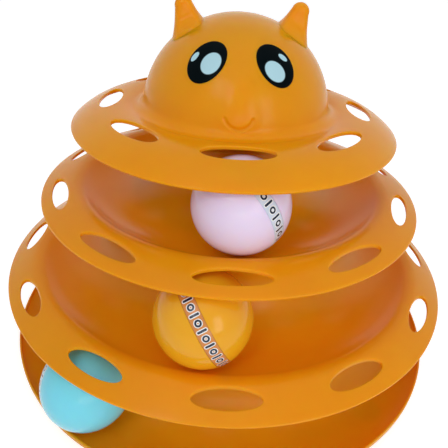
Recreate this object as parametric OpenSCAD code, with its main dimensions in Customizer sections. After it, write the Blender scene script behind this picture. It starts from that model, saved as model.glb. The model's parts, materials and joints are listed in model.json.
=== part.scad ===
// Four-tier cat ball track toy: three stacked ball tracks under a cat-head cover,
// with one rolling ball on each track. Millimetres, +Z up, the face looks along -Y.
// The origin is on the tower axis, at the level of the surface it stands on.

/* [Tiers] */
// Radius of the base's rim
base_rim_r = 125; // [119:1:132]
// How much smaller the lower track's rim radius is than the base's
lower_setback = 0.5; // [0.4:0.1:4]
// How much smaller the middle track's rim radius is than the lower track's
middle_setback = 23; // [20:1:26]
// How much smaller the cover's rim radius is than the middle track's
cover_setback = 18.5; // [16:0.5:20]
// Thickness of every moulded wall
wall = 1.8; // [1.5:0.1:2.4]

/* [Tracks] */
// Room around a ball in the curve of its track
track_clear = 5; // [3:0.5:6]
// Height of the base's rim above its track floor
base_rim_h = 6.3; // [5:0.1:7.5]
// Thickness of the base's lip at its rim
lip_t = 1.2; // [1:0.1:1.6]
// Clearance between a rolling ball and the base's lip
lip_clear = 0.4; // [0.3:0.1:1]
// Radius of the rounded crest between a track and its brim
crest_r = 8; // [6:0.5:10]
// Width of the lower track's brim, from crest to rim
lower_brim_w = 16.7; // [15:0.1:20]
// Width of the middle track's brim, from crest to rim
middle_brim_w = 17.5; // [15:0.1:20]
// Steepest slope of the lower track's outer flank, in degrees
lower_flank_deg = 34.5; // [30:0.5:40]
// Steepest slope of the middle track's outer flank, in degrees
middle_flank_deg = 38.9; // [32:0.1:42]
// Slope of the lower brim where it leaves the crest, in degrees
lower_tilt_deg = 22; // [10:1:26]
// Slope of the middle brim where it leaves the crest, in degrees
middle_tilt_deg = 12; // [8:1:20]
// Radius of the lower and middle brims' drooping curve
brim_curve_r = 80; // [70:1:110]
// Radius of the curve in which the cover arches over its ball
cover_curve_r = 32.2; // [31:0.1:36]
// Slope of the cover's brim at its rim, in degrees
cover_edge_deg = 44.8; // [42:0.2:47]

/* [Head room over the balls] */
// Gap between the base's ball and the lower track above it
lower_head = 8.1; // [5:0.1:12]
// Gap between the lower track's ball and the middle track above it
middle_head = 4.2; // [3:0.1:8]
// Gap between the middle track's ball and the cover above it
cover_head = 2.1; // [1.5:0.1:6]

/* [Paw holes] */
// Length of a paw hole along the lower track's brim
lower_hole_l = 30; // [26:0.5:33]
// Width of a paw hole across the lower track's brim
lower_hole_w = 8.5; // [7:0.5:12]
// Length of a paw hole along the middle track's brim
middle_hole_l = 33; // [28:0.5:35]
// Width of a paw hole across the middle track's brim
middle_hole_w = 8; // [7:0.5:12]
// Length of a paw hole along the cover's brim
cover_hole_l = 31.5; // [27:0.5:34]
// Width of a paw hole across the cover's brim
cover_hole_w = 10.5; // [7:0.5:12]
// Number of paw holes in the lower track's brim
lower_holes = 12; // [8:1:14]
// Number of paw holes in the middle track's brim
middle_holes = 10; // [8:1:12]
// Number of paw holes in the cover's brim
cover_holes = 8; // [6:1:8]
// Distance from the lower track's rim in to its ring of holes
lower_hole_in = 10; // [9:0.1:11]
// Distance from the middle track's rim in to its ring of holes
middle_hole_in = 9.9; // [9:0.1:11]
// Distance from the cover's rim in to its ring of holes
cover_hole_in = 19; // [15:0.5:21]

/* [Stacking] */
// Radius of the rounded shoulder at the top of a hub
shoulder_r = 5; // [4:0.5:6]
// Height of the locating ring on a hub's deck
spigot_h = 4; // [3:0.5:6]
// Distance from the deck of a hub up to the track that rests over it
deck_drop = 4; // [3:0.5:6]
// Straight wall of the middle track's hub, inside the head
neck_h = 6; // [3:1:12]
// Radial clearance between a skirt and the locating ring inside it
skirt_fit = 0.3; // [0.2:0.05:0.6]
// Flat left on the deck outside the skirt
deck_margin = 0.5; // [0.3:0.1:2]

/* [Balls] */
// Diameter of a ball
ball_d = 44; // [42:0.5:45]
// Thickness of a ball's shell
shell_t = 1.5; // [1:0.1:2.5]
// Width of the label band round a ball
band_w = 6; // [4:0.5:9]
// Thickness of the label band
band_t = 0.4; // [0.3:0.05:0.8]
// Clearance under a resting ball, bell or pellet
rest_gap = 0.3; // [0.2:0.05:0.4]
// Diameter of the jingle bell inside a ball
bell_d = 14; // [10:0.5:17]
// Thickness of the bell's metal
bell_t = 0.6; // [0.4:0.1:1]
// Diameter of the pellet inside a bell
pellet_d = 4; // [3:0.5:5]

/* [Cat head] */
// Radius of the cat head as a share of the cover's rim radius
head_share = 0.5722891566; // [0.54:0.01:0.6]
// Height of the head's centre above the cover's rim
head_lift = 5.2; // [4:0.1:8]
// Radius of the fillet between the head and the brim
foot_fillet = 5; // [3:0.5:6]
// Width of an ear at its root
ear_w = 19; // [16:0.5:22]
// Thickness of an ear at its root, front to back
ear_t = 14; // [12:0.5:17]
// How far the middle of an ear's tip stands off the head
ear_reach = 9.5; // [7:0.5:14]
// How deep an ear's root lies under the head's surface
ear_sink = 5.4; // [4:0.1:7]
// How far the ears sit in front of the head's middle
ear_forward = 2; // [0:0.5:6]
// Radius of an ear's rounded tip
ear_tip_r = 3.6; // [3:0.1:4.5]
// Half length of an eye
eye_a = 10.5; // [8:0.5:12]
// Half width of an eye
eye_b = 8.2; // [6:0.1:9]
// Thickness of an eye's sticker
eye_t = 0.5; // [0.3:0.1:0.8]
// Radius of the muzzle's outline on the face
muzzle_r = 9.5; // [8.5:0.5:13]
// Radius of the outline of the nose bridge over the muzzle
bridge_r = 6; // [5:0.5:9]
// How far the muzzle and the bridge stand proud of the face
muzzle_proud = 1.2; // [0.8:0.1:2]
// Radius of the smile's curve
smile_r = 6.4; // [5.5:0.1:7.5]
// Radius of the groove that draws the smile
smile_groove_r = 0.7; // [0.5:0.05:0.9]

/* [Feet] */
// Diameter of a rubber foot
foot_d = 16; // [12:1:18]
// Thickness of a rubber foot
foot_t = 3; // [2.5:0.1:4]
// Depth of the seat that holds a rubber foot
foot_seat = 1; // [0.6:0.1:1.4]
// Plastic left between a foot and the underside of the track
foot_web = 1.2; // [0.5:0.1:1.5]

/* [Hidden] */
$fn = 96;

// Overrun of every cut past the material
over = 4;
// How deep the head's foot fillet eases into the faces it joins
ease = 0.01;
// Number of facets along each curve of a track's section
trough_steps = 18;
crest_steps = 6;
brim_steps = 4;
shoulder_steps = 6;
hub_foot_steps = 8;
cover_steps = 10;

// Where each ball rests on its track, as an angle about the tower axis
blue_az_deg = -127.8;
orange_az_deg = -97.4;
pink_az_deg = -87.3;
// Direction that each ball's seam faces, as an angle about the axis and a rise
blue_seam_deg = [-61, 28];
orange_seam_deg = [15, 26];
pink_seam_deg = [43, 22];

// Directions on the head, in degrees: ears, muzzle, bridge, smile and eyes
ear_root_deg = 58.8;
ear_tip_deg = 61.5;
muzzle_rise_deg = 16;
bridge_rise_deg = 29;
smile_half_deg = 72;
eye_side_deg = 25;
eye_rise_deg = 41.6;
eye_lean_deg = 17;

// Small clearances round a foot in its seat and round a band in its groove
foot_fit = 0.15;
band_fit = 0.1;
// Reach of a bell's slots as a share of its radius
slot_reach_share = 0.7;

// Radii that follow from the driving sizes
ball_r = ball_d / 2;
trough_r = ball_r + track_clear;
lower_rim_r = base_rim_r - lower_setback;
middle_rim_r = lower_rim_r - middle_setback;
cover_rim_r = middle_rim_r - cover_setback;
head_r = head_share * cover_rim_r;
// The base's track line lies as far out as a rolling ball clears the lip
base_reach = lip_t + lip_clear + sqrt(pow(ball_r, 2) - pow(ball_r + rest_gap - base_rim_h, 2));
base_track_r = base_rim_r - base_reach;
lower_crest = lower_rim_r - lower_brim_w;
middle_crest = middle_rim_r - middle_brim_w;
lower_track_r = lower_crest - (trough_r + crest_r) * sin(lower_flank_deg);
middle_track_r = middle_crest - (trough_r + crest_r) * sin(middle_flank_deg);
base_hub_r = base_track_r - trough_r;
lower_hub_r = lower_track_r - trough_r;
middle_hub_r = middle_track_r - trough_r;

// Depth of each track below the crest beside it
lower_depth = (trough_r + crest_r) * (1 - cos(lower_flank_deg));
middle_depth = (trough_r + crest_r) * (1 - cos(middle_flank_deg));

// Heights of the track floors, of the cover's rim and of the hub decks
ball_room = rest_gap + ball_d + wall;
base_floor_z = foot_t + foot_web + wall;
lower_floor_z = base_floor_z + ball_room + lower_head - lower_depth;
middle_floor_z = lower_floor_z + ball_room + middle_head - middle_depth;
cover_bend = [cover_rim_r - cover_curve_r * sin(cover_edge_deg), -cover_curve_r * cos(cover_edge_deg)];
function cover_brim_rise(r) = cover_bend[1] + sqrt(pow(cover_curve_r, 2) - pow(r - cover_bend[0], 2));
cover_rim_z = middle_floor_z + ball_room + cover_head - cover_brim_rise(middle_track_r);
base_deck_z = lower_floor_z - wall - deck_drop;
lower_deck_z = middle_floor_z - wall - deck_drop;
middle_deck_z = middle_floor_z + trough_r + neck_h + shoulder_r;
head_z = cover_rim_z + head_lift;

// Outer radius of the locating ring on a hub
function spigot_r(hub_r) = hub_r - shoulder_r - wall - skirt_fit - deck_margin;

// Points along an arc about c, from angle a0 to a1; a joined arc leaves its first point out
function arc(c, r, a0, a1, steps, joined = true) = [
    for (i = [joined ? 1 : 0 : steps])
        c + r * [cos(a0 + (a1 - a0) * i / steps), sin(a0 + (a1 - a0) * i / steps)]
];

// Outline of a hub's outside, from the middle of its deck, over the locating ring and down
function hub_outside(hub_r, deck_z) = concat(
    [
        [0, deck_z],
        [spigot_r(hub_r) - wall, deck_z],
        [spigot_r(hub_r) - wall, deck_z + spigot_h],
        [spigot_r(hub_r), deck_z + spigot_h],
        [spigot_r(hub_r), deck_z]
    ],
    arc([hub_r - shoulder_r, deck_z - shoulder_r], shoulder_r, 90, 0, shoulder_steps, joined = false)
);

// Outline of a hub's inside, from its wall up and in to the middle of its deck
function hub_inside(hub_r, deck_z) = concat(
    arc([hub_r - shoulder_r, deck_z - shoulder_r], shoulder_r - wall, 0, 90, shoulder_steps, joined = false),
    [[0, deck_z - wall]]
);

// Upright flat strip between radii r0 and r1 and heights z0 and z1
module strip(r0, r1, z0, z1) {
    translate([r0, z0])
        square([r1 - r0, z1 - z0]);
}

// Angle at which the underside of a track's bowl passes radius r
function bowl_turn(track_r, r) = 360 - acos((r - track_r) / (trough_r + wall));

// Section of a stacked track: hub, curved floor, crest, drooping brim, and the skirt
// underneath that drops round the locating ring of the hub below
module track_section(track_r, floor_z, flank_deg, rim_r, tilt_deg, deck_z, hub_below_r, deck_below_z) {
    hub_r = track_r - trough_r;
    skirt_r = spigot_r(hub_below_r) + skirt_fit;
    bowl = [track_r, floor_z + trough_r];
    crest = bowl + (trough_r + crest_r) * [sin(flank_deg), -cos(flank_deg)];
    bend = crest - (brim_curve_r - crest_r) * [sin(tilt_deg), cos(tilt_deg)];
    edge_deg = asin((rim_r - bend[0]) / brim_curve_r);
    polygon(concat(
        hub_outside(hub_r, deck_z),
        arc(bowl, trough_r, 180, 270 + flank_deg, trough_steps, joined = false),
        arc(crest, crest_r, 90 + flank_deg, 90 - tilt_deg, crest_steps),
        arc(bend, brim_curve_r, 90 - tilt_deg, 90 - edge_deg, brim_steps),
        arc(bend, brim_curve_r - wall, 90 - edge_deg, 90 - tilt_deg, brim_steps, joined = false),
        arc(crest, crest_r - wall, 90 - tilt_deg, 90 + flank_deg, crest_steps),
        arc(bowl, trough_r + wall, 270 + flank_deg, bowl_turn(track_r, skirt_r + wall), trough_steps),
        [[skirt_r + wall, deck_below_z], [skirt_r, deck_below_z]],
        arc(bowl, trough_r + wall, bowl_turn(track_r, skirt_r), 180, hub_foot_steps, joined = false),
        hub_inside(hub_r, deck_z)
    ));
}

// Section of the base: hub, curved floor and a rim that ends in an upright lip
module base_section() {
    bowl = [base_track_r, base_floor_z + trough_r];
    inner_deg = asin((base_reach - lip_t) / trough_r);
    outer_deg = asin(base_reach / (trough_r + wall));
    rim_z = base_floor_z + base_rim_h;
    polygon(concat(
        hub_outside(base_hub_r, base_deck_z),
        arc(bowl, trough_r, 180, 270 + inner_deg, trough_steps, joined = false),
        [[base_rim_r - lip_t, rim_z], [base_rim_r, rim_z]],
        arc(bowl, trough_r + wall, 270 + outer_deg, 180, trough_steps, joined = false),
        hub_inside(base_hub_r, base_deck_z)
    ));
}

// Ring of oval paw holes, cut straight down through a brim
module paw_holes(count, ring_r, hole_w, hole_l, from_z, to_z) {
    for (i = [0 : count - 1])
        rotate([0, 0, 360 * i / count - 90])
            translate([ring_r, 0, from_z])
                linear_extrude(to_z - from_z)
                    scale([hole_w / 2, hole_l / 2])
                        circle(r = 1);
}

// Spots for the rubber feet, under the base's track line
module at_feet() {
    for (i = [0 : 3])
        rotate([0, 0, 90 * i + 45])
            translate([base_track_r, 0, 0])
                children();
}

module base_track() {
    color("darkorange")
        difference() {
            union() {
                rotate_extrude()
                    base_section();
                difference() {
                    at_feet()
                        translate([0, 0, foot_t - foot_seat])
                            cylinder(r = foot_d / 2 + wall / 2, h = foot_seat + wall + over);
                    rotate_extrude()
                        translate([base_track_r, base_floor_z + trough_r])
                            circle(r = trough_r + wall / 2);
                }
            }
            at_feet()
                translate([0, 0, -over])
                    cylinder(r = foot_d / 2 + foot_fit, h = foot_t + over);
        }
}

module lower_track() {
    color("darkorange")
        difference() {
            rotate_extrude()
                track_section(lower_track_r, lower_floor_z, lower_flank_deg, lower_rim_r,
                    lower_tilt_deg, lower_deck_z, base_hub_r, base_deck_z);
            paw_holes(lower_holes, lower_rim_r - lower_hole_in, lower_hole_w, lower_hole_l,
                lower_floor_z - over, lower_floor_z + trough_r);
        }
}

module middle_track() {
    color("darkorange")
        difference() {
            rotate_extrude()
                track_section(middle_track_r, middle_floor_z, middle_flank_deg, middle_rim_r,
                    middle_tilt_deg, middle_deck_z, lower_hub_r, lower_deck_z);
            paw_holes(middle_holes, middle_rim_r - middle_hole_in, middle_hole_w, middle_hole_l,
                middle_floor_z - over, middle_floor_z + trough_r);
        }
}

// Turns and moves children from the head's middle out along a direction on the face
module on_face(az, rise) {
    translate([0, 0, head_z])
        rotate([0, 90 - rise, az])
            children();
}

// Section of the cover: arched brim, head, the fillet between them, and the inner sleeve
module cover_section() {
    bend = cover_bend + [0, cover_rim_z];
    head = [0, head_z];
    inner = spigot_r(middle_hub_r) + skirt_fit;
    inner_deg = acos((head_r - wall - bend[0]) / cover_curve_r);
    rim_deg = 90 - cover_edge_deg;
    // The fillet's centre lies a set distance from the head's middle and from the brim's bend
    a = head_r + foot_fillet - ease;
    b = cover_curve_r + foot_fillet - ease;
    span = norm(bend - head);
    along = (bend - head) / span;
    x = (a * a - b * b + span * span) / (2 * span);
    fillet = head + x * along + sqrt(a * a - x * x) * [-along[1], along[0]];
    difference() {
        union() {
            polygon(concat(
                arc(bend, cover_curve_r, inner_deg, rim_deg, cover_steps, joined = false),
                arc(bend, cover_curve_r - wall, rim_deg, inner_deg, cover_steps, joined = false)
            ));
            intersection() {
                translate(head)
                    circle(r = head_r);
                strip(0, head_r + over, bend[1] + cover_curve_r * sin(inner_deg) - wall, head_z + head_r + over);
            }
            difference() {
                polygon([
                    fillet,
                    fillet + (foot_fillet + wall / 2) * (head - fillet) / a,
                    fillet + (foot_fillet + wall / 2) * (bend - fillet) / b
                ]);
                translate(fillet)
                    circle(r = foot_fillet);
            }
        }
        translate(head)
            circle(r = head_r - wall);
    }
    intersection() {
        strip(inner, inner + wall, middle_deck_z, head_z + head_r);
        translate(head)
            circle(r = head_r - wall / 2);
    }
}

// Radius of the low round swelling whose outline on the head has radius r
function swelling_r(r) =
    let (high = head_r - sqrt(head_r * head_r - r * r) + muzzle_proud)
    (r * r + high * high) / (2 * high);

// Low round swelling on the face, with an outline of radius r
module swelling(rise, r) {
    on_face(-90, rise)
        translate([0, 0, head_r + muzzle_proud - swelling_r(r)])
            sphere(r = swelling_r(r));
}

// One ear: side is -1 for the ear at -X and 1 for the ear at +X
module ear(side) {
    root = (head_r - ear_sink) * [cos(ear_root_deg), sin(ear_root_deg)];
    tip = (head_r + ear_reach) * [cos(ear_tip_deg), sin(ear_tip_deg)];
    hull() {
        translate([side * tip[0], -ear_forward, head_z + tip[1]])
            sphere(r = ear_tip_r, $fn = 32);
        translate([side * root[0], -ear_forward, head_z + root[1] - wall])
            linear_extrude(wall)
                scale([ear_w / 2, ear_t / 2])
                    circle(r = 1, $fn = 32);
    }
}

module top_cover() {
    cap_r = swelling_r(muzzle_r);
    groove_h = head_r + muzzle_proud - cap_r + sqrt(cap_r * cap_r - smile_r * smile_r);
    color("darkorange")
        difference() {
            union() {
                rotate_extrude()
                    cover_section();
                difference() {
                    union() {
                        swelling(muzzle_rise_deg, muzzle_r);
                        swelling(bridge_rise_deg, bridge_r);
                        ear(-1);
                        ear(1);
                    }
                    translate([0, 0, head_z])
                        sphere(r = head_r - wall / 2);
                }
            }
            paw_holes(cover_holes, cover_rim_r - cover_hole_in, cover_hole_w, cover_hole_l,
                cover_rim_z - over, head_z + trough_r);
            on_face(-90, muzzle_rise_deg)
                translate([0, 0, groove_h])
                    rotate_extrude(angle = 2 * smile_half_deg, start = -smile_half_deg)
                        translate([smile_r, 0])
                            circle(r = smile_groove_r, $fn = 24);
        }
}

// Oval eye sticker: side is -1 for the eye at -X and 1 for the eye at +X
module eye(side) {
    color("black")
        intersection() {
            translate([0, 0, head_z])
                difference() {
                    sphere(r = head_r + eye_t);
                    sphere(r = head_r);
                }
            on_face(-90 + side * eye_side_deg, eye_rise_deg)
                rotate([0, 0, side * eye_lean_deg])
                    linear_extrude(head_r + over)
                        scale([eye_a, eye_b])
                            circle(r = 1);
        }
}

module left_eye() {
    eye(-1);
}

module right_eye() {
    eye(1);
}

// Puts children at the middle of a ball that rests on its track
module at_ball(az, track_r, floor_z) {
    rotate([0, 0, az])
        translate([track_r, 0, floor_z + rest_gap + ball_r])
            rotate([0, 0, -az])
                children();
}

// Turns children so that +Z faces the way a ball's seam does
module at_seam(seam) {
    rotate([0, 90 - seam[1], seam[0]])
        children();
}

// Half of a ball's shell, on one side of its seam, with half of the band's groove
module ball_half(side) {
    groove_h = band_w / 2;
    rotate([side > 0 ? 0 : 180, 0, 0])
        rotate_extrude()
            difference() {
                intersection() {
                    circle(r = ball_r);
                    strip(0, ball_r + over, 0, ball_r + over);
                }
                circle(r = ball_r - shell_t);
                difference() {
                    strip(0, ball_r + over, -over, groove_h);
                    circle(r = ball_r - band_t);
                }
            }
}

// Label band round a ball's seam
module ball_band() {
    half_h = band_w / 2 - band_fit;
    rotate_extrude()
        difference() {
            intersection() {
                circle(r = ball_r);
                strip(0, ball_r + over, -half_h, half_h);
            }
            circle(r = ball_r - band_t);
        }
}

// Round jingle bell with a joining flange and a crossed slot underneath
module bell() {
    bell_r = bell_d / 2;
    drop = ball_r - shell_t - bell_r - rest_gap;
    slot_w = 2 * bell_t;
    translate([0, 0, -drop])
        difference() {
            rotate_extrude()
                difference() {
                    union() {
                        intersection() {
                            circle(r = bell_r);
                            strip(0, bell_r + over, -bell_r, bell_r);
                        }
                        strip(bell_r - bell_t, bell_r + bell_t, -bell_t / 2, bell_t / 2);
                    }
                    circle(r = bell_r - bell_t);
                }
            for (turn = [0, 90])
                rotate([0, 0, turn])
                    translate([-bell_r * slot_reach_share, -slot_w / 2, -bell_r - over])
                        cube([2 * bell_r * slot_reach_share, slot_w, over + bell_r]);
        }
}

// Loose pellet on the floor of a bell
module pellet() {
    drop = ball_r - shell_t - 2 * bell_t - rest_gap - pellet_d / 2;
    translate([0, 0, -drop])
        sphere(r = pellet_d / 2);
}

module at_blue() {
    at_ball(blue_az_deg, base_track_r, base_floor_z)
        children();
}

module at_orange() {
    at_ball(orange_az_deg, lower_track_r, lower_floor_z)
        children();
}

module at_pink() {
    at_ball(pink_az_deg, middle_track_r, middle_floor_z)
        children();
}

module blue_ball_left_half() {
    color("skyblue") at_blue() at_seam(blue_seam_deg) ball_half(-1);
}

module blue_ball_right_half() {
    color("skyblue") at_blue() at_seam(blue_seam_deg) ball_half(1);
}

module blue_ball_band() {
    color("whitesmoke") at_blue() at_seam(blue_seam_deg) ball_band();
}

module blue_ball_bell() {
    color("gold") at_blue() bell();
}

module blue_ball_pellet() {
    color("silver") at_blue() pellet();
}

module orange_ball_left_half() {
    color("orange") at_orange() at_seam(orange_seam_deg) ball_half(-1);
}

module orange_ball_right_half() {
    color("orange") at_orange() at_seam(orange_seam_deg) ball_half(1);
}

module orange_ball_band() {
    color("whitesmoke") at_orange() at_seam(orange_seam_deg) ball_band();
}

module orange_ball_bell() {
    color("gold") at_orange() bell();
}

module orange_ball_pellet() {
    color("silver") at_orange() pellet();
}

module pink_ball_left_half() {
    color("pink") at_pink() at_seam(pink_seam_deg) ball_half(-1);
}

module pink_ball_right_half() {
    color("pink") at_pink() at_seam(pink_seam_deg) ball_half(1);
}

module pink_ball_band() {
    color("whitesmoke") at_pink() at_seam(pink_seam_deg) ball_band();
}

module pink_ball_bell() {
    color("gold") at_pink() bell();
}

module pink_ball_pellet() {
    color("silver") at_pink() pellet();
}

module rubber_feet() {
    color("dimgray")
        at_feet()
            cylinder(r = foot_d / 2, h = foot_t);
}

base_track();
lower_track();
middle_track();
top_cover();
left_eye();
right_eye();
blue_ball_left_half();
blue_ball_right_half();
blue_ball_band();
blue_ball_bell();
blue_ball_pellet();
orange_ball_left_half();
orange_ball_right_half();
orange_ball_band();
orange_ball_bell();
orange_ball_pellet();
pink_ball_left_half();
pink_ball_right_half();
pink_ball_band();
pink_ball_bell();
pink_ball_pellet();
rubber_feet();
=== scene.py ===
"""Cat ball track toy: three stacked ball tracks under a cat-head cover, with a ball on each track."""
import json
from math import acos, asin, atan2, copysign, cos, hypot, pi, radians, sin, sqrt

import bmesh
import bpy
from bpy.props import FloatProperty, FloatVectorProperty, IntProperty, PointerProperty
from mathutils import Matrix, Vector


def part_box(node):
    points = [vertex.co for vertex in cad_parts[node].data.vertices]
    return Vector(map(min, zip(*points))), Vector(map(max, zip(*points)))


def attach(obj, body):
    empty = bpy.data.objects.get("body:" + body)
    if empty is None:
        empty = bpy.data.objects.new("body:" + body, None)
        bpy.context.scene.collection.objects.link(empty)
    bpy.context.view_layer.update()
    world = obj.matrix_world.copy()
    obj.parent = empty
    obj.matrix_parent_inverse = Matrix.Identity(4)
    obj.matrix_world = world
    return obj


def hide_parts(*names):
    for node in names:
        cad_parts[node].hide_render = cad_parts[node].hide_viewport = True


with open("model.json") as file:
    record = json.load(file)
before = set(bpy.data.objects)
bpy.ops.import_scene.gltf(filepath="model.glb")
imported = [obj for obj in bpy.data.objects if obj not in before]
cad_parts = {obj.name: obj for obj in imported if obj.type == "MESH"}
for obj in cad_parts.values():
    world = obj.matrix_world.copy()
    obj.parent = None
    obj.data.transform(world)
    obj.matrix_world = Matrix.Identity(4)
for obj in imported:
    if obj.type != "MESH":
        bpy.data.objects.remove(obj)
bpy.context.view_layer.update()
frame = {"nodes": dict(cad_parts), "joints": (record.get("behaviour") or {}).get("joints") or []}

bl_info = {
    "name": "Cat Ball Track Toy",
    "version": (1, 0, 0),
    "blender": (4, 5, 0),
    "location": "3D View > Sidebar > Cat Toy",
    "description": "Builds a stacked ball track toy with a cat-head cover around its frame",
    "category": "Add Mesh",
}

MM = 0.001

# What the frame says of the tiers and the balls, in metres
JOINTS = {joint["name"]: joint for joint in frame["joints"]}
BALLS = ("blue", "orange", "pink")
BALL_CENTRES = {ball: Vector(JOINTS[ball + "_roll"]["pos_m"]) for ball in BALLS}
BASE_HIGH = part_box("base_track")[1]
LOWER_LOW, LOWER_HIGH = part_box("lower_track")
MIDDLE_LOW, MIDDLE_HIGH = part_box("middle_track")
COVER_LOW, COVER_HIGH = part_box("top_cover")

# Directions that the balls' seams face, as an angle round the axis and a rise, in degrees
BALL_SEAMS = {"blue": (-61, 28), "orange": (15, 26), "pink": (43, 22)}

# Columns of vertices: those of the tower divide evenly by each tier's number of paw holes
COLUMNS, BALL_COLUMNS, FOOT_COLUMNS, EYE_COLUMNS, EAR_COLUMNS = 240, 96, 64, 96, 80
# Steps along the seam between two holes, and round a softened edge
SEAM_STEPS, ROUND_STEPS = 8, 4
# Loops of vertices round a paw hole, as shares of the way from its edge to the border of its field
HOLE_SHARES = (0.1, 0.24, 0.45, 0.7)
# A brim's holed band starts this far before the top of its crest, or past the foot of the head's fillet,
# and ends this far before the rim
CREST_SPARE, FILLET_SPARE, RIM_STRIP = 2.5 * MM, 0.5 * MM, 2.4 * MM
# Left where a skirt stands on a deck and where a ball's halves meet, so that no two surfaces coincide
SEAT_GAP = 0.02 * MM
# Edges that turn by more than this look sharp
SHARP = radians(38)
FEET = 4

# How far red, green and blue light spread in the plastics, as shares of the scattering depth
SCATTER_SHARES = (1.0, 0.4, 0.15)
PLASTIC_IOR = 1.49

# Printed marks, in mm: half a stroke's middle line, a ring's middle radius, their ink and the white round it
STROKE_HALF_LINE, STROKE_THICK = 1.6, 1.0
RING_LINE, RING_THICK = 1.1, 0.8
MARK_MARGIN = 0.38

# Each softbox: degrees to the right of the front and over the floor, then distance, width and height in m
SOFTBOXES = {
    "overhead": (-20, 75, 1.1, 0.9, 0.9),
    "left_window": (-28, 42, 0.9, 0.2, 0.3),
    "right_window": (33, 18, 0.9, 0.25, 0.45),
    "front_fill": (6, 6, 0.9, 0.5, 0.25),
}
# They face this height on the tower's axis
LAMP_TARGET = 110 * MM
WHITE = (1, 1, 1, 1)
# Half the floor's side and the camera's clipping distances in m, and its sensor's width in mm
FLOOR_HALF, CLIP, SENSOR = 4.0, (0.01, 20.0), 36.0


def linear(code):
    """Turns an sRGB hex colour into linear RGBA."""
    channels = [int(code[i:i + 2], 16) / 255 for i in (0, 2, 4)]
    return tuple(c / 12.92 if c <= 0.04045 else ((c + 0.055) / 1.055) ** 2.4 for c in channels) + (1.0,)


def length(name, description, default):
    """A property that holds a length in metres, given here in millimetres."""
    return FloatProperty(name=name, description=description, default=default * MM, unit="LENGTH", precision=4)


def angle(name, description, default):
    """A property that holds an angle, given here in degrees."""
    return FloatProperty(name=name, description=description, default=radians(default), subtype="ANGLE")


def number(name, description, default, unit="NONE"):
    """A property that holds a plain number or a power."""
    return FloatProperty(name=name, description=description, default=default, unit=unit)


def whole(name, description, default):
    """A property that holds a whole number."""
    return IntProperty(name=name, description=description, default=default)


def colour(name, description, default):
    """A property that holds a colour, given here as sRGB hex."""
    return FloatVectorProperty(name=name, description=description, subtype="COLOR", size=4, min=0, max=1,
                               default=linear(default))


class CATTOY_PG_tower(bpy.types.PropertyGroup):
    """Sizes of the stacked tiers."""
    wall: length("Wall", "Thickness of every moulded wall", 1.8)
    track_clear: length("Track clearance", "Room round a ball in the curve of its track", 5)
    rest_gap: length("Rest gap", "Clearance under a resting ball", 0.3)
    crest: length("Crest radius", "Radius of the crest between a track and its brim", 8)
    brim_curve: length("Brim curve", "Radius of the lower and middle brims' drooping curve", 80)
    lower_flank: angle("Lower flank", "Steepest slope of the lower track's outer flank", 34.5)
    middle_flank: angle("Middle flank", "Steepest slope of the middle track's outer flank", 38.9)
    lower_tilt: angle("Lower tilt", "Slope of the lower brim where it leaves the crest", 22)
    middle_tilt: angle("Middle tilt", "Slope of the middle brim where it leaves the crest", 12)
    cover_curve: length("Cover curve", "Radius of the curve in which the cover arches over its ball", 32.2)
    cover_edge: angle("Cover edge", "Slope of the cover's brim at its rim", 44.8)
    base_rim: length("Base rim", "Height of the base's rim over its track floor", 6.3)
    base_lip: length("Base lip", "Thickness of the base's lip at its rim", 1.2)
    shoulder: length("Shoulder", "Radius of the shoulder at the top of a hub", 5)
    ring_height: length("Locating ring", "Height of the locating ring on a deck", 4)
    skirt_fit: length("Skirt fit", "Clearance between a skirt and the ring inside it", 0.3)
    deck_margin: length("Deck margin", "Flat left on the deck outside the skirt", 0.5)
    lower_length: length("Lower hole length", "Length of a paw hole along the lower brim", 30)
    lower_width: length("Lower hole width", "Width of a paw hole across the lower brim", 8.5)
    lower_inset: length("Lower hole inset", "From the lower rim in to its ring of holes", 10)
    middle_length: length("Middle hole length", "Length of a paw hole along the middle brim", 33)
    middle_width: length("Middle hole width", "Width of a paw hole across the middle brim", 8)
    middle_inset: length("Middle hole inset", "From the middle rim in to its ring of holes", 9.9)
    cover_length: length("Cover hole length", "Length of a paw hole along the cover's brim", 31.5)
    cover_width: length("Cover hole width", "Width of a paw hole across the cover's brim", 10.5)
    cover_inset: length("Cover hole inset", "From the cover's rim in to its ring of holes", 19)
    edge_round: length("Edge round", "Radius that softens the brims' edges", 0.7)
    hole_round: length("Hole round", "Radius that softens the paw holes' edges", 0.5)
    lower_holes: whole("Lower holes", "Paw holes in the lower brim", 12)
    middle_holes: whole("Middle holes", "Paw holes in the middle brim", 10)
    cover_holes: whole("Cover holes", "Paw holes in the cover's brim", 8)


class CATTOY_PG_head(bpy.types.PropertyGroup):
    """Sizes of the cat head and its face."""
    radius: length("Head radius", "Radius of the cat head", 47.5)
    lift: length("Head lift", "Height of the head's middle over the cover's rim", 5.2)
    foot_fillet: length("Foot fillet", "Radius of the fillet between the head and the brim", 5)
    muzzle: length("Muzzle", "Radius of the muzzle's outline", 9.5)
    bridge: length("Bridge", "Radius of the outline of the bridge over the muzzle", 6)
    proud: length("Muzzle height", "How far the muzzle stands proud of the face", 1.2)
    bridge_proud: length("Bridge height", "How far the bridge stands proud of the face", 0.6)
    smile: length("Smile radius", "Radius of the smile's curve", 6.4)
    groove: length("Smile groove", "Radius of the groove that draws the smile", 1.0)
    ear_tip: length("Ear tip", "Half width of an ear's rounded tip", 4.2)
    ear_scoop: length("Ear scoop", "Depth of the hollow in an ear's front", 1.8)
    ear_flare: length("Ear flare", "How far an ear's front spreads where it meets the head", 5)
    eye_long: length("Eye length", "Half length of an eye", 10.5)
    eye_wide: length("Eye width", "Half width of an eye", 8.2)
    eye_thick: length("Eye thickness", "Thickness of an eye's sticker", 0.5)


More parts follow.
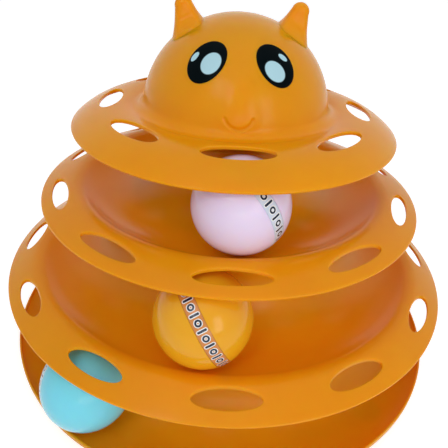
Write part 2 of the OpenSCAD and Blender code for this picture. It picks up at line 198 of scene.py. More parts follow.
class CATTOY_PG_balls(bpy.types.PropertyGroup):
    """Sizes of the rolling balls."""
    diameter: length("Diameter", "Diameter of a ball", 44)
    shell: length("Shell", "Thickness of a ball's shell", 1.5)
    band_width: length("Band width", "Width of the label band", 6)
    band_thick: length("Band thickness", "Thickness of the label band", 0.4)
    band_fit: length("Band fit", "Clearance on each side of the band in its groove", 0.1)
    mark_pitch: length("Mark pitch", "Distance from one printed mark to the next", 3.4)


class CATTOY_PG_finish(bpy.types.PropertyGroup):
    """Colours of the materials."""
    tower: colour("Tower", "Orange polypropylene of the tiers", "F29E0E")
    tower_deep: colour("Tower depth", "Deeper orange in the plastic's flow mottle", "EA920A")
    blue: colour("Blue ball", "Sky-blue ball plastic", "82E6FC")
    orange: colour("Orange ball", "Orange ball plastic", "FAAE1C")
    pink: colour("Pink ball", "Lilac-pink ball plastic", "F4DEFA")
    eye: colour("Eye", "Near-black of the eye stickers", "000A0E")
    glint: colour("Eye glint", "Pale print in the eyes", "B4DCE8")
    mark: colour("Band mark", "Dark marks printed on the bands", "16243E")
    mark_edge: colour("Mark edge", "White edge round the printed marks", "EEF0F0")
    blue_film: colour("Blue ball's film", "Film over the blue plastic", "A9DCEC")
    orange_film: colour("Orange ball's film", "Film over the orange plastic", "C8784A")
    pink_film: colour("Pink ball's film", "Film over the pink plastic", "C5DCE8")
    rubber: colour("Foot rubber", "Rubber of the feet", "2A2A2B")


class CATTOY_PG_stage(bpy.types.PropertyGroup):
    """Camera, floor and lamps."""
    camera: FloatVectorProperty(name="Camera", description="Where the camera stands", subtype="TRANSLATION",
                                unit="LENGTH", default=(-9.76 * MM, -242.99 * MM, 219.0 * MM))
    heading: angle("Heading", "Camera's turn from +Y towards +X", 1.82)
    dip: angle("Dip", "Camera's tilt below the horizon", 31.3)
    roll: angle("Roll", "Camera's roll about its own line of sight", 3.61)
    focal: number("Focal length", "Focal length on a 36 mm sensor, in mm", 38.21)
    world: number("World", "Strength of the plain sky", 0.46)
    overhead: number("Overhead", "Power of the overhead softbox", 1.2, "POWER")
    left_window: number("Left window", "Power of the softbox at the front left", 0.94, "POWER")
    right_window: number("Right window", "Power of the softbox at the front right", 1.3, "POWER")
    front_fill: number("Front fill", "Power of the low softbox in front", 0.9, "POWER")
    floor: colour("Floor", "Pale floor", "EAEAEA")
    floor_glow: number("Floor glow", "White that the camera sees on the floor", 0.62)


def settings(group):
    """The scene's property group of that name."""
    return getattr(bpy.context.scene, "cattoy_" + group)


# Outlines in the half plane of radius and height

def arc(centre, radius, start, end, steps):
    """Points along an arc, both ends included; angles in radians from the +r axis."""
    turns = [start + (end - start) * i / steps for i in range(steps + 1)]
    return [(centre[0] + radius * cos(turn), centre[1] + radius * sin(turn)) for turn in turns]


def circles_meet(c1, r1, c2, r2):
    """Where two circles meet, on the right of the line from c1 to c2."""
    dx, dz = c2[0] - c1[0], c2[1] - c1[1]
    span = hypot(dx, dz)
    along = (r1 * r1 - r2 * r2 + span * span) / (2 * span)
    off = sqrt(r1 * r1 - along * along)
    return (c1[0] + (along * dx + off * dz) / span, c1[1] + (along * dz - off * dx) / span)


def turn_to(centre, point):
    """Angle of a point seen from a centre."""
    return atan2(point[1] - centre[1], point[0] - centre[0])


def ring_radius(tower, hub):
    """Outer radius of the locating ring on a hub's deck."""
    return hub - tower.shoulder - tower.wall - tower.skirt_fit - tower.deck_margin


def ball_track(ball):
    """Radius of a ball's track, radius of the curve it rolls in, and height of the track's floor."""
    tower, ball_r = settings("tower"), settings("balls").diameter / 2
    centre = BALL_CENTRES[ball]
    return hypot(centre.x, centre.y), ball_r + tower.track_clear, centre.z - ball_r - tower.rest_gap


def head_heights():
    """Heights of the cover's rim and of the head's middle."""
    tower = settings("tower")
    rim_z = COVER_LOW.z + tower.wall * cos(tower.cover_edge)
    return rim_z, rim_z + settings("head").lift


def hub_outside(tower, hub, deck):
    """From the middle of a deck, over its locating ring, to the foot of the shoulder."""
    ring = ring_radius(tower, hub)
    top = deck + tower.ring_height
    return [(0, deck), (ring - tower.wall, deck), (ring - tower.wall, top), (ring, top), (ring, deck)] + arc(
        (hub - tower.shoulder, deck - tower.shoulder), tower.shoulder, pi / 2, 0, 8)


def hub_inside(tower, hub, deck):
    """From the inside of a hub's wall, up and in to the middle of the deck's underside."""
    return arc((hub - tower.shoulder, deck - tower.shoulder), tower.shoulder - tower.wall, 0, pi / 2, 6) + [
        (0, deck - tower.wall)]


class Brim:
    """A drooping brim's section: a crest that turns into a long curve down to the rim."""

    def __init__(self, tower, curve, bend, rim, crest=None, crest_turn=0.0):
        self.tower, self.curve, self.bend, self.rim, self.crest = tower, curve, bend, rim, crest
        self.switch = sin(crest_turn)
        self.edge = asin((rim - bend[0]) / curve)

    def height(self, radius, depth=0.0):
        """Height of the surface that lies depth below the brim's top, at a radius."""
        if self.crest and radius < self.crest[0] + (self.tower.crest - depth) * self.switch:
            round_r, centre = self.tower.crest - depth, self.crest
        else:
            round_r, centre = self.curve - depth, self.bend
        return centre[1] + sqrt(round_r ** 2 - (radius - centre[0]) ** 2)

    def rim_outline(self, start):
        """From the brim's top at radius start, round the softened rim, to its underside there."""
        curve, wall, soft = self.curve, self.tower.wall, self.tower.edge_round
        last = self.edge - soft / curve
        out, along = (sin(last), cos(last)), (cos(last), -sin(last))
        points = []
        for depth, first in ((soft, 0.0), (wall - soft, pi / 2)):
            middle = [self.bend[i] + (curve - depth) * out[i] for i in (0, 1)]
            for step in range(ROUND_STEPS + 1):
                turn = first + pi / 2 * step / ROUND_STEPS
                c, s = soft * cos(turn), soft * sin(turn)
                points.append(tuple(middle[i] + c * out[i] + s * along[i] for i in (0, 1)))
        top = asin((start - self.bend[0]) / curve)
        under = asin((start - self.bend[0]) / (curve - wall))
        return (arc(self.bend, curve, pi / 2 - top, pi / 2 - last, 3)[:-1] + points
                + arc(self.bend, curve - wall, pi / 2 - last, pi / 2 - under, 3)[1:])


# Mesh helpers

def new_piece(name, bm, body, material, *nodes):
    """Makes an object of a mesh that moves with a body, and that stands for CAD nodes if any are named."""
    bmesh.ops.remove_doubles(bm, verts=bm.verts, dist=1e-6)
    bmesh.ops.recalc_face_normals(bm, faces=bm.faces)
    mesh = bpy.data.meshes.new(name)
    bm.to_mesh(mesh)
    bm.free()
    mesh.shade_smooth()
    mesh.set_sharp_from_angle(angle=SHARP)
    mesh.materials.append(material)
    piece = bpy.data.objects.new(name, mesh)
    bpy.context.scene.collection.objects.link(piece)
    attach(piece, body)
    if nodes:
        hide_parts(*nodes)


def column_angle(column, columns=COLUMNS):
    """Angle of a column of vertices; column 0 faces the front."""
    return 2 * pi * column / columns - pi / 2


def ring_of(bm, radius, height, columns=COLUMNS, place=None):
    """A ring of vertices round the axis, or one vertex on it."""
    spots = [Vector((radius * cos(column_angle(i, columns)), radius * sin(column_angle(i, columns)), height))
             for i in range(columns)]
    if radius < 1e-7:
        spots = [Vector((0, 0, height))]
    return [bm.verts.new(place @ spot if place else spot) for spot in spots]


def bridge(bm, low, high):
    """Fills the strip between two rings, either of which may be one vertex."""
    count = max(len(low), len(high))
    for i in range(count if count > 1 else 0):
        corners = [low[i % len(low)], low[(i + 1) % len(low)], high[(i + 1) % len(high)], high[i % len(high)]]
        bm.faces.new(list(dict.fromkeys(corners)))


def spin(bm, outline, columns=COLUMNS, place=None):
    """Turns an outline round the axis and returns its rings."""
    rings = [ring_of(bm, r, z, columns, place) for r, z in outline]
    for low, high in zip(rings, rings[1:]):
        bridge(bm, low, high)
    return rings


def holed_band(bm, inner, outer, height, count, middle, half_wide, half_long):
    """Fills the band between two rings but for its oval holes, and returns each hole's edge loop."""
    r_in, r_out = inner[0].co.xy.length, outer[0].co.xy.length
    per = COLUMNS // count
    seams = {}
    for i in range(count):
        column = (i * per + per // 2) % COLUMNS
        turn = column_angle(column)
        radii = [r_in + (r_out - r_in) * step / SEAM_STEPS for step in range(1, SEAM_STEPS)]
        seams[column] = [bm.verts.new((r * cos(turn), r * sin(turn), height(r))) for r in radii]
    loops = []
    for i in range(count):
        first, last = (i * per - per // 2) % COLUMNS, (i * per + per // 2) % COLUMNS
        columns = [(first + k) % COLUMNS for k in range(per + 1)]
        border = [inner[k] for k in columns] + seams[last] + [outer[k] for k in reversed(columns)]
        border += list(reversed(seams[first]))
        facing = column_angle(i * per)
        edge, spokes = [], []
        for vertex in border:
            r_far = vertex.co.xy.length
            far = (atan2(vertex.co.y, vertex.co.x) - facing + pi) % (2 * pi) - pi
            turn = atan2(r_far * sin(far) / half_long, (r_far * cos(far) - middle) / half_wide)
            x, y = middle + half_wide * cos(turn), half_long * sin(turn)
            near, r_near = atan2(y, x), hypot(x, y)
            spoke = []
            for share in (0.0,) + HOLE_SHARES:
                r = r_near + (r_far - r_near) * share
                a = facing + near + (far - near) * share
                spoke.append(bm.verts.new((r * cos(a), r * sin(a), height(r))))
            spokes.append(spoke + [vertex])
            edge.append((spoke[0], turn))
        for one, two in zip(spokes, spokes[1:] + spokes[:1]):
            for k in range(len(one) - 1):
                bm.faces.new((one[k], two[k], two[k + 1], one[k + 1]))
        loops.append((facing, edge))
    return loops


def hole_walls(bm, tops, unders, tower, height, middle, half_wide, half_long):
    """Joins each hole's top edge to its lower edge through softened corners."""
    soft = tower.hole_round
    for (facing, top), (_, under) in zip(tops, unders):
        loops = [[vertex for vertex, _ in top]]
        rounds = [(0.0, 1, k) for k in range(1, ROUND_STEPS + 1)]
        rounds += [(tower.wall, -1, k) for k in range(ROUND_STEPS, 0, -1)]
        for depth, way, k in rounds:
            turn = pi / 2 * k / ROUND_STEPS
            grow, drop = soft * (1 - sin(turn)), soft * (1 - cos(turn)) * way
            loop = []
            for _, a in top:
                x = middle + (half_wide + grow) * cos(a)
                y = (half_long + grow) * sin(a)
                r = hypot(x, y)
                spin_to = facing + atan2(y, x)
                loop.append(bm.verts.new((r * cos(spin_to), r * sin(spin_to), height(r, depth) - drop)))
            loops.append(loop)
        loops.append([vertex for vertex, _ in under])
        for one, two in zip(loops, loops[1:]):
            bridge(bm, one, two)


def holed_brim(bm, brim, tier, top_start, under_start):
    """Builds a brim with its paw holes between the rings where the tier's own surfaces reach it."""
    tower, soft = brim.tower, brim.tower.hole_round
    holes, middle = getattr(tower, tier + "_holes"), brim.rim - getattr(tower, tier + "_inset")
    half_wide, half_long = getattr(tower, tier + "_width") / 2, getattr(tower, tier + "_length") / 2
    rim_rings = spin(bm, brim.rim_outline(brim.rim - RIM_STRIP))
    tops, unders = (
        holed_band(bm, inner, outer, lambda r: brim.height(r, depth), holes, middle,
                   half_wide + soft, half_long + soft)
        for inner, outer, depth in ((top_start, rim_rings[0], 0.0), (under_start, rim_rings[-1], tower.wall)))
    hole_walls(bm, tops, unders, tower, brim.height, middle, half_wide, half_long)


def stacked_track(tier, material, ball, low, high, below_hub):
    """One stacked tier: deck, hub, curved track, crest, brim with paw holes, and the skirt underneath."""
    tower = settings("tower")
    flank, tilt = getattr(tower, tier + "_flank"), getattr(tower, tier + "_tilt")
    track, trough, floor = ball_track(ball)
    bowl = (track, floor + trough)
    hub, deck = track - trough, high.z - tower.ring_height
    crest = (bowl[0] + (trough + tower.crest) * sin(flank), bowl[1] - (trough + tower.crest) * cos(flank))
    reach = tower.brim_curve - tower.crest
    bend = (crest[0] - reach * sin(tilt), crest[1] - reach * cos(tilt))
    brim = Brim(tower, tower.brim_curve, bend, high.x, crest, tilt)
    start = crest[0] - CREST_SPARE

    bm = bmesh.new()
    over = hub_outside(tower, hub, deck) + arc(bowl, trough, pi, 1.5 * pi + flank, steps=40)
    over += arc(crest, tower.crest, pi / 2 + flank, acos((start - crest[0]) / tower.crest), steps=6)[1:]
    under_r = trough + tower.wall
    skirt = ring_radius(tower, below_hub) + tower.skirt_fit
    crest_r = tower.crest - tower.wall
    under = arc(crest, crest_r, acos((start - crest[0]) / crest_r), pi / 2 + flank, steps=5)
    skirt_turn = acos((skirt + tower.wall - track) / under_r)
    under += arc(bowl, under_r, 1.5 * pi + flank, 2 * pi - skirt_turn, steps=30)[1:]
    under += [(skirt + tower.wall, low.z + SEAT_GAP), (skirt, low.z + SEAT_GAP)]
    under += arc(bowl, under_r, 2 * pi - acos((skirt - track) / under_r), pi, steps=10)
    under += hub_inside(tower, hub, deck)
    top_rings, under_rings = spin(bm, over), spin(bm, under)
    holed_brim(bm, brim, tier, top_rings[-1], under_rings[0])
    new_piece(tier + "_track_moulding", bm, tier, material, tier + "_track")
    return hub


# Materials

def add_node(tree, kind, inputs=None, **options):
    """Adds a shader node; inputs holds sockets to link from or plain values, by name or number."""
    made = tree.nodes.new(kind)
    for key, value in options.items():
        setattr(made, key, value)
    for key, value in (inputs or {}).items():
        if isinstance(value, bpy.types.NodeSocket):
            tree.links.new(value, made.inputs[key])
        else:
            made.inputs[key].default_value = value
    return made


def shade(tone, factor):
    """A colour made darker or lighter."""
    return tuple(min(1.0, factor * c) for c in tone[:3]) + (1.0,)


def new_material(name):
    """An empty node material and its tree."""
    material = bpy.data.materials.get(name) or bpy.data.materials.new(name)
    material.use_nodes = True
    material.node_tree.nodes.clear()
    return material, material.node_tree


def moulded_plastic(name, base, deep, roughness, scatter, scatter_scale, mottle, specular):
    """Glossy injection-moulded plastic: a smooth skin with a faint flow mottle and a slight ripple.

    Thin walls let some light through, so it scatters under the skin and deepens in the mottle."""
    material, tree = new_material(name)
    place = add_node(tree, "ShaderNodeTexCoord").outputs["Object"]
    # Flow mottle about 30 mm across, ripple about 6 mm and skin grain about 0.8 mm
    flow, ripple, grain = [
        add_node(tree, "ShaderNodeTexNoise", {"Vector": place, "Scale": 1 / size, "Detail": detail}).outputs[0]
        for size, detail in ((30 * MM, 3.0), (6 * MM, 1.0), (0.8 * MM, 2.0))]
    # The noise seldom leaves the middle of its range, so that part is spread over the whole mottle
    blend = add_node(tree, "ShaderNodeMapRange", {"Value": flow, "From Min": 0.3, "From Max": 0.7,
                                                  "To Max": mottle})
    tone = add_node(tree, "ShaderNodeMix", {"Factor": blend.outputs[0], 6: base, 7: deep}, data_type="RGBA")
    rough = add_node(tree, "ShaderNodeMapRange", {"Value": grain, "To Min": roughness * 0.85,
                                                  "To Max": roughness * 1.2})
    waves = add_node(tree, "ShaderNodeBump", {"Height": ripple, "Strength": 0.12, "Distance": 0.15 * MM})
    skin = add_node(tree, "ShaderNodeBump", {"Height": grain, "Strength": 0.06, "Distance": 0.03 * MM,
                                             "Normal": waves.outputs[0]})
    shader = add_node(tree, "ShaderNodeBsdfPrincipled", {
        "Base Color": tone.outputs[2], "Roughness": rough.outputs[0], "IOR": PLASTIC_IOR,
        "Specular IOR Level": specular, "Subsurface Weight": scatter, "Subsurface Radius": SCATTER_SHARES,
        "Subsurface Scale": scatter_scale, "Normal": skin.outputs[0]})
    add_node(tree, "ShaderNodeOutputMaterial", {"Surface": shader.outputs[0]})
    return material


def tower_polypropylene():
    """Orange polypropylene, polished in the mould: a soft gloss over a saturated, slightly milky body."""
    finish = settings("finish")
    return moulded_plastic("Moulded_polypropylene_orange", tuple(finish.tower), tuple(finish.tower_deep),
                           roughness=0.22, scatter=0.7, scatter_scale=5 * MM, mottle=0.5, specular=0.12)


def ball_abs(ball):
    """ABS, moulded in thin half shells: glossy and slightly translucent, so its edge looks lit."""
    base = tuple(getattr(settings("finish"), ball))
    return moulded_plastic("Moulded_ABS_" + ball, base, shade(base, 0.9),
                           roughness=0.16, scatter=0.3, scatter_scale=4 * MM, mottle=0.3, specular=0.25)


def label_film(ball):
    """Printed PET film: clear and smooth over the plastic, with plain dark marks that have a white edge."""
    finish = settings("finish")
    material, tree = new_material("Printed_PET_film_" + ball)
    # The band's own coordinates are in millimetres: U along it and V across it
    spot = add_node(tree, "ShaderNodeUVMap", uv_map="band").outputs[0]
    along, sideways = add_node(tree, "ShaderNodeSeparateXYZ", {0: spot}).outputs[:2]
    pitch = settings("balls").mark_pitch / MM
    # Strokes and rings take turns; each has a middle line, and ink as far as half its thickness from it.
    # A row gives a sum's name and operation, and the sockets, numbers or earlier sums that it takes
    sums = {}
    for name, operation, *values in (
            ("cell", "FLOORED_MODULO", along, pitch),
            ("from_middle", "SUBTRACT", "cell", pitch / 2),
            ("beside", "ABSOLUTE", "from_middle"),
            ("across", "ABSOLUTE", sideways),
            ("past_line", "SUBTRACT", "across", STROKE_HALF_LINE),
            ("beyond", "MAXIMUM", "past_line", 0.0),
            ("square", "MULTIPLY", "beside", "beside"),
            ("stroke_square", "MULTIPLY_ADD", "beyond", "beyond", "square"),
            ("stroke_reach", "SQRT", "stroke_square"),
            ("stroke", "SUBTRACT", "stroke_reach", STROKE_THICK / 2),
            ("ring_square", "MULTIPLY_ADD", "across", "across", "square"),
            ("ring_reach", "SQRT", "ring_square"),
            ("from_ring", "SUBTRACT", "ring_reach", RING_LINE),
            ("off_ring", "ABSOLUTE", "from_ring"),
            ("ring", "SUBTRACT", "off_ring", RING_THICK / 2),
            ("marks", "DIVIDE", along, pitch),
            ("mark", "FLOOR", "marks"),
            ("is_ring", "FLOORED_MODULO", "mark", 2.0)):
        inputs = {i: sums[value] if isinstance(value, str) else value for i, value in enumerate(values)}
        sums[name] = add_node(tree, "ShaderNodeMath", inputs, operation=operation).outputs[0]
    far = add_node(tree, "ShaderNodeMix", {0: sums["is_ring"], 2: sums["stroke"], 3: sums["ring"]},
                   data_type="FLOAT").outputs[0]
    # The clear film shows a little of the plastic under it, in clouds about 5 mm across
    clouds = add_node(tree, "ShaderNodeTexNoise", {"Vector": spot, "Scale": 1 / 5.0})
    under = add_node(tree, "ShaderNodeMapRange", {"Value": clouds.outputs[0], "To Max": 0.5})
    film, plastic = tuple(getattr(finish, ball + "_film")), tuple(getattr(finish, ball))
    tone = add_node(tree, "ShaderNodeMix", {"Factor": under.outputs[0], 6: film, 7: plastic}, data_type="RGBA")
    for margin, ink in ((MARK_MARGIN, finish.mark_edge), (0.0, finish.mark)):
        inside = add_node(tree, "ShaderNodeMath", {0: far, 1: margin}, operation="LESS_THAN")
        tone = add_node(tree, "ShaderNodeMix", {
            "Factor": inside.outputs[0], 6: tone.outputs[2], 7: tuple(ink)}, data_type="RGBA")
    shader = add_node(tree, "ShaderNodeBsdfPrincipled", {
        "Base Color": tone.outputs[2], "Roughness": 0.2, "IOR": 1.57, "Specular IOR Level": 0.3})
    add_node(tree, "ShaderNodeOutputMaterial", {"Surface": shader.outputs[0]})
    return material


def glossy_sticker(name, glints):
    """Printed vinyl sticker, gloss laminated: near black, with pale oval glints printed in it.

    glints holds each oval's middle, half sizes and turn, in millimetres on the eye's own map."""
    finish = settings("finish")
    material, tree = new_material(name)
    spot = add_node(tree, "ShaderNodeUVMap", uv_map="eye").outputs[0]
    # The black fades in patches about 4 mm across
    fade = add_node(tree, "ShaderNodeTexNoise", {"Vector": spot, "Scale": 1 / 4.0})
    dark = tuple(finish.eye)
    tone = add_node(tree, "ShaderNodeMix", {"Factor": fade.outputs[0], 6: dark, 7: shade(dark, 0.6)},
                    data_type="RGBA")
    for middle, half_sizes, turn in glints:
        local = add_node(tree, "ShaderNodeMapping", {
            "Vector": spot, "Location": (*middle, 0.0), "Rotation": (0.0, 0.0, turn),
            "Scale": (*half_sizes, 1.0)}, vector_type="TEXTURE")
        far = add_node(tree, "ShaderNodeVectorMath", {0: local.outputs[0]}, operation="LENGTH")
        # The ink's edge is about 0.2 mm soft
        inside = add_node(tree, "ShaderNodeMapRange", {"Value": far.outputs["Value"], "From Min": 0.96,
                                                       "From Max": 1.04, "To Min": 1.0, "To Max": 0.0})
        tone = add_node(tree, "ShaderNodeMix", {
            "Factor": inside.outputs[0], 6: tone.outputs[2], 7: tuple(finish.glint)}, data_type="RGBA")
    shader = add_node(tree, "ShaderNodeBsdfPrincipled", {
        "Base Color": tone.outputs[2], "Roughness": 0.25, "IOR": 1.5, "Specular IOR Level": 0.03})
    add_node(tree, "ShaderNodeOutputMaterial", {"Surface": shader.outputs[0]})
    return material


def foot_rubber():
    """Moulded rubber: dark, matt and slightly dusty."""
    base = tuple(settings("finish").rubber)
    material, tree = new_material("Moulded_rubber_dark")
    place = add_node(tree, "ShaderNodeTexCoord").outputs["Object"]
    # Dust in patches about 4 mm across and a grain about 0.5 mm
    dust = add_node(tree, "ShaderNodeTexNoise", {"Vector": place, "Scale": 1 / (4 * MM), "Detail": 4.0})
    grain = add_node(tree, "ShaderNodeTexNoise", {"Vector": place, "Scale": 1 / (0.5 * MM)})
    tone = add_node(tree, "ShaderNodeMix", {"Factor": dust.outputs[0], 6: base, 7: shade(base, 1.8)},
                    data_type="RGBA")
    bump = add_node(tree, "ShaderNodeBump", {"Height": grain.outputs[0], "Strength": 0.3,
                                             "Distance": 0.05 * MM})
    shader = add_node(tree, "ShaderNodeBsdfPrincipled", {
        "Base Color": tone.outputs[2], "Roughness": 0.75, "IOR": 1.52, "Normal": bump.outputs[0]})
    add_node(tree, "ShaderNodeOutputMaterial", {"Surface": shader.outputs[0]})
    return material


def tumbled_metal(name, code, roughness):
    """Stamped sheet or wire, tumbled smooth: soft gloss with fine random scratches and a faint tarnish."""
    base = linear(code)
    material, tree = new_material(name)
    place = add_node(tree, "ShaderNodeTexCoord").outputs["Object"]
    # Tarnish in patches about 3 mm across and scratches about 0.3 mm
    tarnish = add_node(tree, "ShaderNodeTexNoise", {"Vector": place, "Scale": 1 / (3 * MM), "Detail": 3.0})
    scratch = add_node(tree, "ShaderNodeTexNoise", {"Vector": place, "Scale": 1 / (0.3 * MM)})
    tone = add_node(tree, "ShaderNodeMix", {"Factor": tarnish.outputs[0], 6: base, 7: shade(base, 0.7)},
                    data_type="RGBA")
    rough = add_node(tree, "ShaderNodeMapRange", {"Value": scratch.outputs[0], "To Min": roughness * 0.8,
                                                  "To Max": roughness * 1.5})
    bump = add_node(tree, "ShaderNodeBump", {"Height": scratch.outputs[0], "Strength": 0.1,
                                             "Distance": 0.02 * MM})
    shader = add_node(tree, "ShaderNodeBsdfPrincipled", {
        "Base Color": tone.outputs[2], "Metallic": 1.0, "Roughness": rough.outputs[0],
        "Normal": bump.outputs[0]})
    add_node(tree, "ShaderNodeOutputMaterial", {"Surface": shader.outputs[0]})
    return material


# Pieces

def round_corner(before, corner, after, radius):
    """Replaces an outline's corner by an arc of that radius that touches both of its sides."""
    corner_v, one, two = Vector(corner), Vector(before) - Vector(corner), Vector(after) - Vector(corner)
    one.normalize()
    two.normalize()
    half = one.angle(two) / 2
    middle = corner_v + (one + two).normalized() * radius / sin(half)
    first = corner_v + one * radius / (sin(half) / cos(half)) - middle
    last = corner_v + two * radius / (sin(half) / cos(half)) - middle
    start, end = atan2(first.y, first.x), atan2(last.y, last.x)
    sweep = (end - start + pi) % (2 * pi) - pi
    return arc(tuple(middle), radius, start, start + sweep, steps=5)


def foot_layout():
    """The feet's places, their radius and the height of their tops."""
    track = ball_track("blue")[0]
    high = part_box("rubber_feet")[1]
    turns = [pi / 4 + i * 2 * pi / FEET for i in range(FEET)]
    places = [Matrix.Translation((track * cos(turn), track * sin(turn), 0)) for turn in turns]
    return places, high.x - track * sqrt(0.5), high.z


# The base's lip is rounded by this share of its thickness, and its underside by this radius at the rim
LIP_ROUND, LIP_UNDER = 0.45, 0.8 * MM
# Depth of a foot's seat, and its clearance round the foot
SEAT_DEEP, SEAT_FIT = 1.0 * MM, 0.15 * MM


class CATTOY_OT_base(bpy.types.Operator):
    """Builds the base: a wide shallow track with a low rim, a hub, and seats for the feet"""
    bl_idname = "cattoy.base"
    bl_label = "Base"

    def execute(self, context):
        tower = settings("tower")
        track, trough, floor = ball_track("blue")
        bowl = (track, floor + trough)
        hub, deck = track - trough, BASE_HIGH.z - tower.ring_height
        rim, rim_z = BASE_HIGH.x, floor + tower.base_rim
        inner, outer, soft = rim - tower.base_lip - track, rim - track, LIP_ROUND * tower.base_lip
        over = hub_outside(tower, hub, deck)
        over += arc(bowl, trough, pi, 1.5 * pi + asin(inner / trough), steps=44)
        side = bowl[1] - sqrt((trough + tower.wall) ** 2 - outer ** 2)
        lip = [over[-1], (rim - tower.base_lip, rim_z), (rim, rim_z), (rim, side)]
        over += round_corner(lip[0], lip[1], lip[2], soft) + round_corner(lip[1], lip[2], lip[3], soft)
        under = arc(bowl, trough + tower.wall, 1.5 * pi + asin(outer / (trough + tower.wall)), pi, steps=44)
        under[:1] = round_corner(over[-1], under[0], under[1], LIP_UNDER)
        bm = bmesh.new()
        spin(bm, over + under + hub_inside(tower, hub, deck))
        material = tower_polypropylene()
        new_piece("base_moulding", bm, "base", material, "base_track")
        # A collar holds each foot, and runs up into the wall of the track
        places, foot_r, top = foot_layout()
        hold, collar = foot_r + SEAT_FIT, foot_r + tower.wall / 2
        ring = [(hold, top), (hold, top - SEAT_DEEP), (collar, top - SEAT_DEEP),
                (collar, floor - tower.wall / 10), (0, floor - tower.wall / 2), (0, top), (hold, top)]
        bm = bmesh.new()
        for place in places:
            spin(bm, ring, FOOT_COLUMNS, place)
        new_piece("foot_seats", bm, "base", material)
        return {"FINISHED"}


class CATTOY_OT_tracks(bpy.types.Operator):
    """Builds the lower and the middle track"""
    bl_idname = "cattoy.tracks"
    bl_label = "Stacked tracks"

    def execute(self, context):
        material = tower_polypropylene()
        track, trough, _ = ball_track("blue")
        lower_hub = stacked_track("lower", material, "orange", LOWER_LOW, LOWER_HIGH, track - trough)
        stacked_track("middle", material, "pink", MIDDLE_LOW, MIDDLE_HIGH, lower_hub)
        return {"FINISHED"}


def face_direction(side, rise):
    """Unit vector from the head's middle; side is the angle to the right of the face's own line."""
    turn = radians(side) - pi / 2
    return Vector((cos(radians(rise)) * cos(turn), cos(radians(rise)) * sin(turn), sin(radians(rise))))


def face_axes(side, rise, lean=0.0):
    """Axes of a plate on the face: down, to the right along the face, and outwards."""
    out = face_direction(side, rise)
    turn = radians(side) - pi / 2
    right = Vector((-sin(turn), cos(turn), 0))
    down = right.cross(out)
    c, s = cos(radians(lean)), sin(radians(lean))
    return down * c + right * s, right * c - down * s, out


# Middles of the muzzle, the bridge and the eyes: degrees to the side and up; an eye also leans
MUZZLE, BRIDGE = (0, 16), (0, 29)
EYE_SIDE, EYE_RISE, EYE_LEAN = 25, 41.6, 17
# The smile runs this far to each side, and its groove is as deep as this share of its radius
SMILE_HALF, SMILE_DEEP = radians(72), 0.6
# Stretches over which the muzzle eases into its bridge, and both into the head
BRIDGE_EASE, FACE_EASE = 1.5 * MM, 0.5 * MM
# The face is made finer, and pressed a little further out: distance from the head's middle, angle to each
# side, rises, and the farthest distance from the tower's axis
FACE_REACH = (46.8 * MM, 56 * MM)
FINE_SIDE, FINE_RISES, FINE_OUT, FINE_CUTS = radians(20), (radians(2), radians(42)), 51.5 * MM, 3
PRESS_SIDE, PRESS_RISES = radians(22), (radians(1), radians(44))
# How far an eye's underside is sunk in the head, the round of its edge as a share of its thickness, and its
# rings of vertices out to the edge and round it
EYE_SUNK, EYE_ROUND, EYE_RINGS, EYE_EDGE_RINGS = 0.1 * MM, 0.8, 12, 5
# Each eye's glints: side and rise of the middle in degrees, half sizes in mm, and lean in degrees
GLINTS = {
    -1: [((-21.0, 40.5), (5.2, 4.3), -16.5), ((-34.7, 42.5), (2.5, 1.3), -16)],
    1: [((22.8, 37.8), (5.1, 4.2), 35), ((32.2, 45.1), (2.3, 1.3), 40)],
}


def soft_max(a, b, soft):
    """The larger of two lengths, eased over a short stretch where they cross."""
    gap = max(soft - abs(a - b), 0.0)
    return max(a, b) + gap * gap / (4 * soft)


def cap_reach(head, outline, proud, direction, axis):
    """How far out a round swelling reaches along a direction."""
    sunk = head.radius - sqrt(head.radius ** 2 - outline ** 2)
    high = sunk + proud
    cap = (outline ** 2 + high ** 2) / (2 * high)
    centre = head.radius + proud - cap
    along = max(-1.0, min(1.0, direction.dot(axis)))
    inside = cap ** 2 - centre ** 2 * (1 - along ** 2)
    return centre * along + sqrt(inside) if inside > 0 and along > 0 else 0.0


def press_face(bm, head, middle):
    """Raises the muzzle and its bridge out of the head, and draws the smile as a groove."""
    muzzle, bridge_axis = face_direction(*MUZZLE), face_direction(*BRIDGE)
    down, right, _ = face_axes(*MUZZLE)
    faces = []
    for face in bm.faces:
        offset = face.calc_center_median() - middle
        if not FACE_REACH[0] < offset.length < FACE_REACH[1]:
            continue
        rise = asin(offset.z / offset.length)
        if (abs(atan2(offset.x, -offset.y)) < FINE_SIDE and FINE_RISES[0] < rise < FINE_RISES[1]
                and offset.xy.length < FINE_OUT):
            faces.append(face)
    edges = {edge for face in faces for edge in face.edges}
    bmesh.ops.subdivide_edges(bm, edges=list(edges), cuts=FINE_CUTS, use_grid_fill=True)
    for vertex in bm.verts:
        offset = vertex.co - middle
        reach = offset.length
        if not FACE_REACH[0] < reach < FACE_REACH[1] or abs(atan2(offset.x, -offset.y)) > PRESS_SIDE:
            continue
        direction = offset / reach
        if not sin(PRESS_RISES[0]) <= direction.z <= sin(PRESS_RISES[1]):
            continue
        muzzle_reach = cap_reach(head, head.muzzle, head.proud, direction, muzzle)
        bridge_reach = cap_reach(head, head.bridge, head.bridge_proud, direction, bridge_axis)
        new = soft_max(reach, soft_max(muzzle_reach, bridge_reach, BRIDGE_EASE), FACE_EASE)
        below, beside = direction.dot(down) * head.radius, direction.dot(right) * head.radius
        across = abs(hypot(below, beside) - head.smile) / head.groove
        turn = abs(atan2(beside, below))
        end = max(0.0, turn - SMILE_HALF) * head.smile / head.groove
        depth = max(0.0, 1 - across ** 2 - end ** 2)
        vertex.co = middle + direction * (new - head.groove * SMILE_DEEP * depth)


